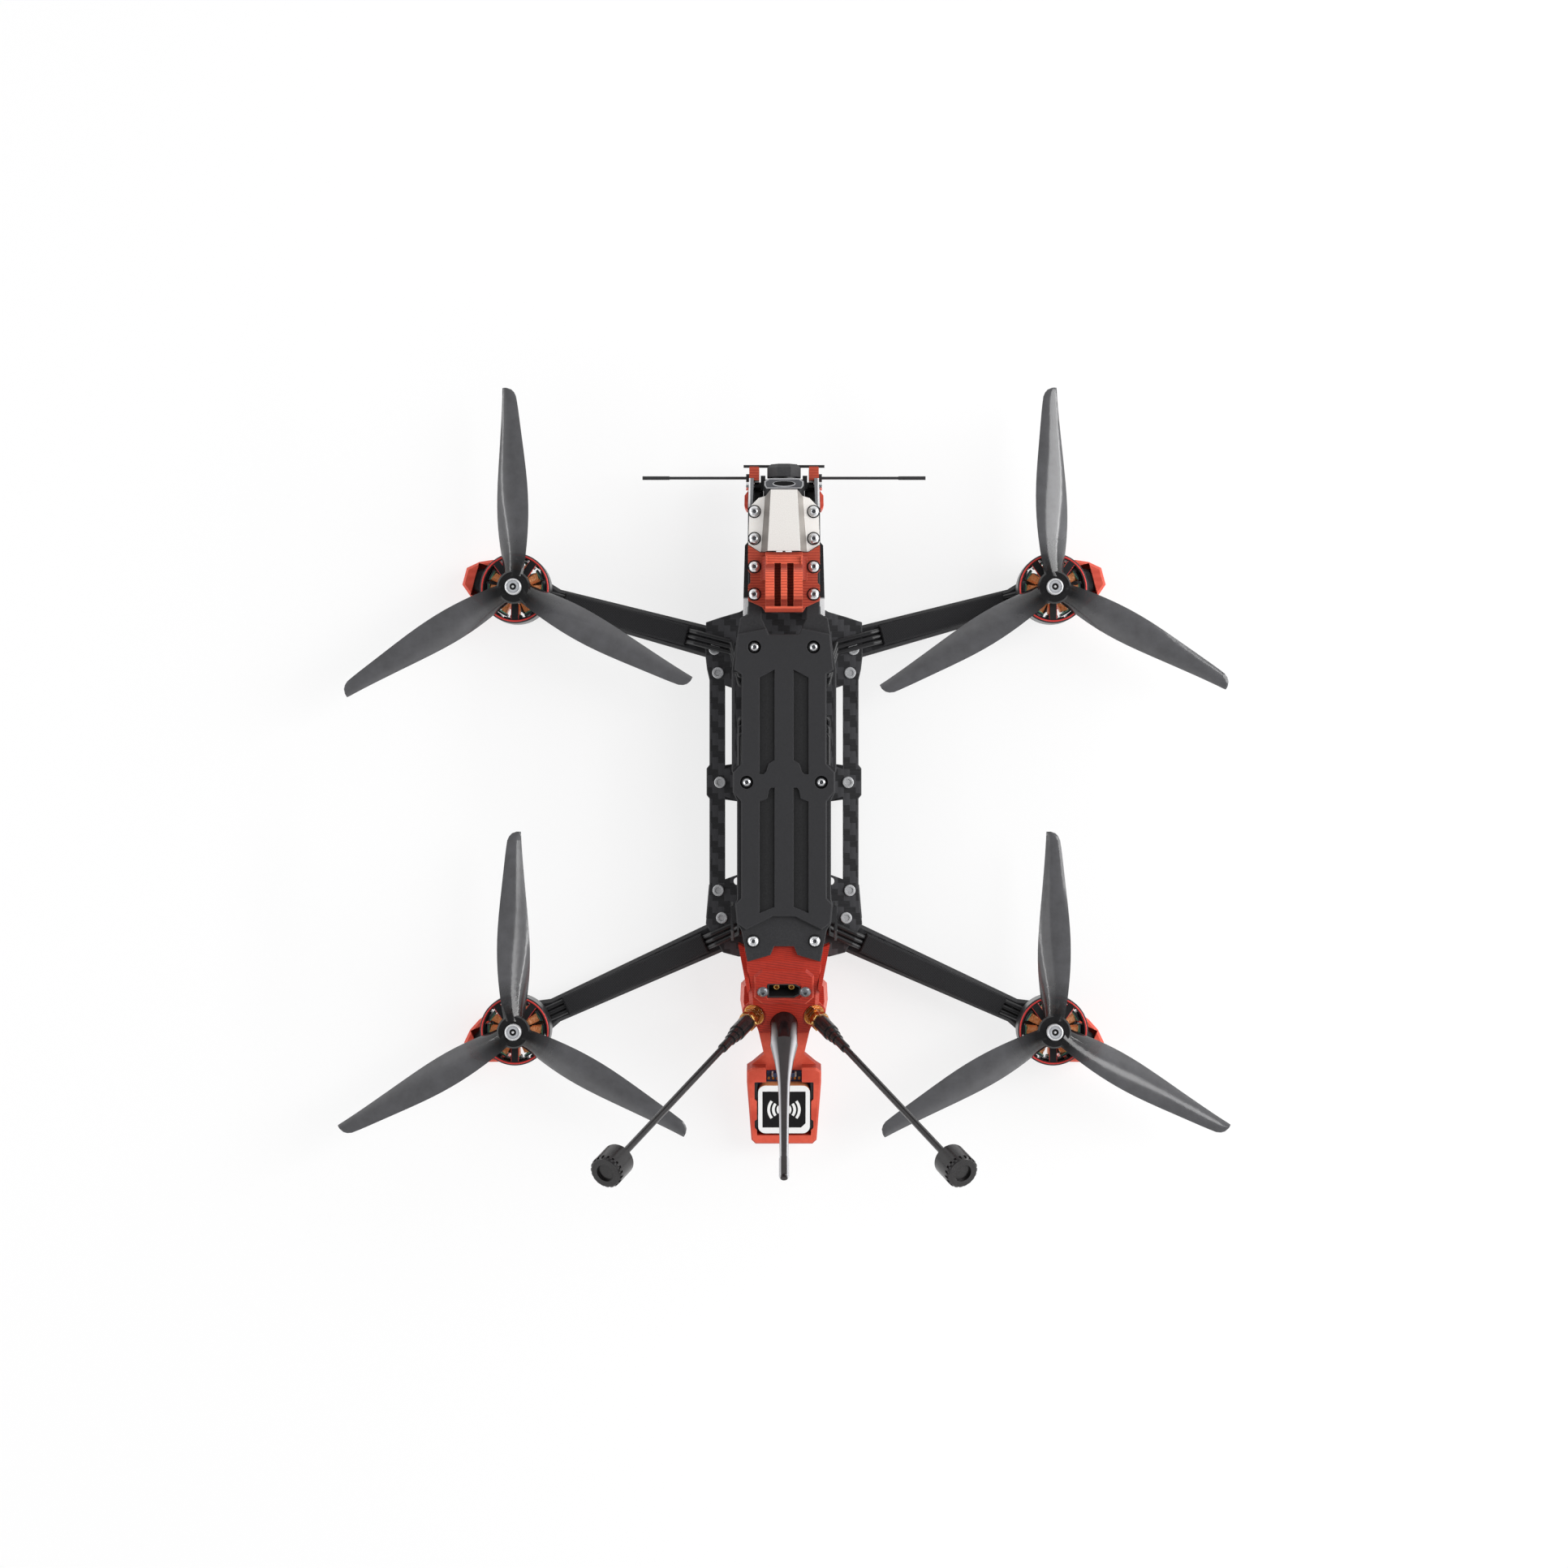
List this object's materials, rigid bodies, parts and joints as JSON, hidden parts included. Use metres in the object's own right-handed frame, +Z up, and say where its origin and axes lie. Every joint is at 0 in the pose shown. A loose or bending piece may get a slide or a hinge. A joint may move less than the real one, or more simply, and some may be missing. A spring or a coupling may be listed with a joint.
{
  "type": "fpv quadcopter",
  "caption": "Long-range FPV quadcopter with a carbon frame, three-blade propellers, a tilting nose camera, a battery deck and a printed tail with antennas.",
  "frame": {"origin": "centre of the overall box, on the ground under the four arm guards", "axes": "+X to the craft's left, -Y towards its nose, +Z up"},
  "size_m": [0.4257, 0.3708, 0.1749],
  "materials": {
    "carbon": "matte carbon twill",
    "battery_rubber": "matte silicone",
    "red_printed": "layered print",
    "black_anodised": "satin anodised",
    "black_plastic": "moulded",
    "black_rubber": "satin",
    "gloss_black": "gloss",
    "satin_silver": "bead blasted",
    "bright_steel": "polished",
    "black_steel": "oxide black",
    "stator_steel": "laminated",
    "copper": "enamelled wire",
    "smoke_plastic": "smoke translucent",
    "wire_insulation": "silicone",
    "braid": "braided",
    "circuit_board": "solder mask",
    "ceramic_patch": "ceramic",
    "gold_plate": "plated",
    "capacitor_sleeve": "shrink sleeve",
    "lens_glass": "coated"
  },
  "bodies": {
    "airframe": {"action_camera_mount": "red_printed", "antenna_clips": "red_printed", "antenna_head_left": "black_plastic", "antenna_head_right": "black_plastic", "antenna_sockets": "gold_plate", "antenna_stem_left": "black_rubber", "antenna_stem_right": "black_rubber", "arm_front_left": "carbon", "arm_front_right": "carbon", "arm_guards": "red_printed", "arm_rear_left": "carbon", "arm_rear_right": "carbon", "battery_pad": "battery_rubber", "bottom_plate": "carbon", "case_screws": "bright_steel", "flight_controller": "circuit_board", "frame_bolts": "black_steel", "gps_board": "circuit_board", "gps_patch": "ceramic_patch", "gps_tray": "red_printed", "mid_plate": "carbon", "motor_bases": "black_anodised", "motor_wires": "wire_insulation", "nose_bumpers": "red_printed", "nose_cover": "satin_silver", "nose_side_plate_left": "black_anodised", "nose_side_plate_right": "black_anodised", "power_capacitor": "capacitor_sleeve", "power_connector": "black_plastic", "power_pins": "gold_plate", "press_nuts": "bright_steel", "radio_receiver": "circuit_board", "rear_side_covers": "black_plastic", "receiver_antennas": "black_rubber", "speed_controller": "circuit_board", "stack_bolts": "black_steel", "standoffs": "black_anodised", "stators": "stator_steel", "tail_housing": "red_printed", "top_plate": "carbon", "video_transmitter": "black_anodised", "whip_antenna": "gloss_black", "windings": "copper", "wire_sleeves": "braid"},
    "camera": {"camera_housing": "black_anodised", "camera_lens": "lens_glass", "camera_cap": "black_rubber", "camera_screws": "black_steel"},
    "rotor_front_left": {"motor_bell_front_left": "black_anodised", "propeller_front_left": "smoke_plastic", "prop_nut_front_left": "bright_steel"},
    "rotor_front_right": {"motor_bell_front_right": "black_anodised", "propeller_front_right": "smoke_plastic", "prop_nut_front_right": "bright_steel"},
    "rotor_rear_left": {"motor_bell_rear_left": "black_anodised", "propeller_rear_left": "smoke_plastic", "prop_nut_rear_left": "bright_steel"},
    "rotor_rear_right": {"motor_bell_rear_right": "black_anodised", "propeller_rear_right": "smoke_plastic", "prop_nut_rear_right": "bright_steel"}
  },
  "joints": [
    {"name": "camera_tilt", "type": "hinge", "parent": "airframe", "child": "camera", "pos_m": [0, -0.138, 0.037], "axis": [-1, 0, 0], "range_deg": [-10, 35]},
    {"name": "rotor_spin_front_left", "type": "hinge", "parent": "airframe", "child": "rotor_front_left", "pos_m": [0.1287, -0.0894, 0.038], "axis": [0, 0, 1], "continuous": true},
    {"name": "rotor_spin_front_right", "type": "hinge", "parent": "airframe", "child": "rotor_front_right", "pos_m": [-0.1287, -0.0894, 0.038], "axis": [0, 0, 1], "continuous": true},
    {"name": "rotor_spin_rear_left", "type": "hinge", "parent": "airframe", "child": "rotor_rear_left", "pos_m": [0.1287, 0.1222, 0.038], "axis": [0, 0, 1], "continuous": true},
    {"name": "rotor_spin_rear_right", "type": "hinge", "parent": "airframe", "child": "rotor_rear_right", "pos_m": [-0.1287, 0.1222, 0.038], "axis": [0, 0, 1], "continuous": true}
  ]
}
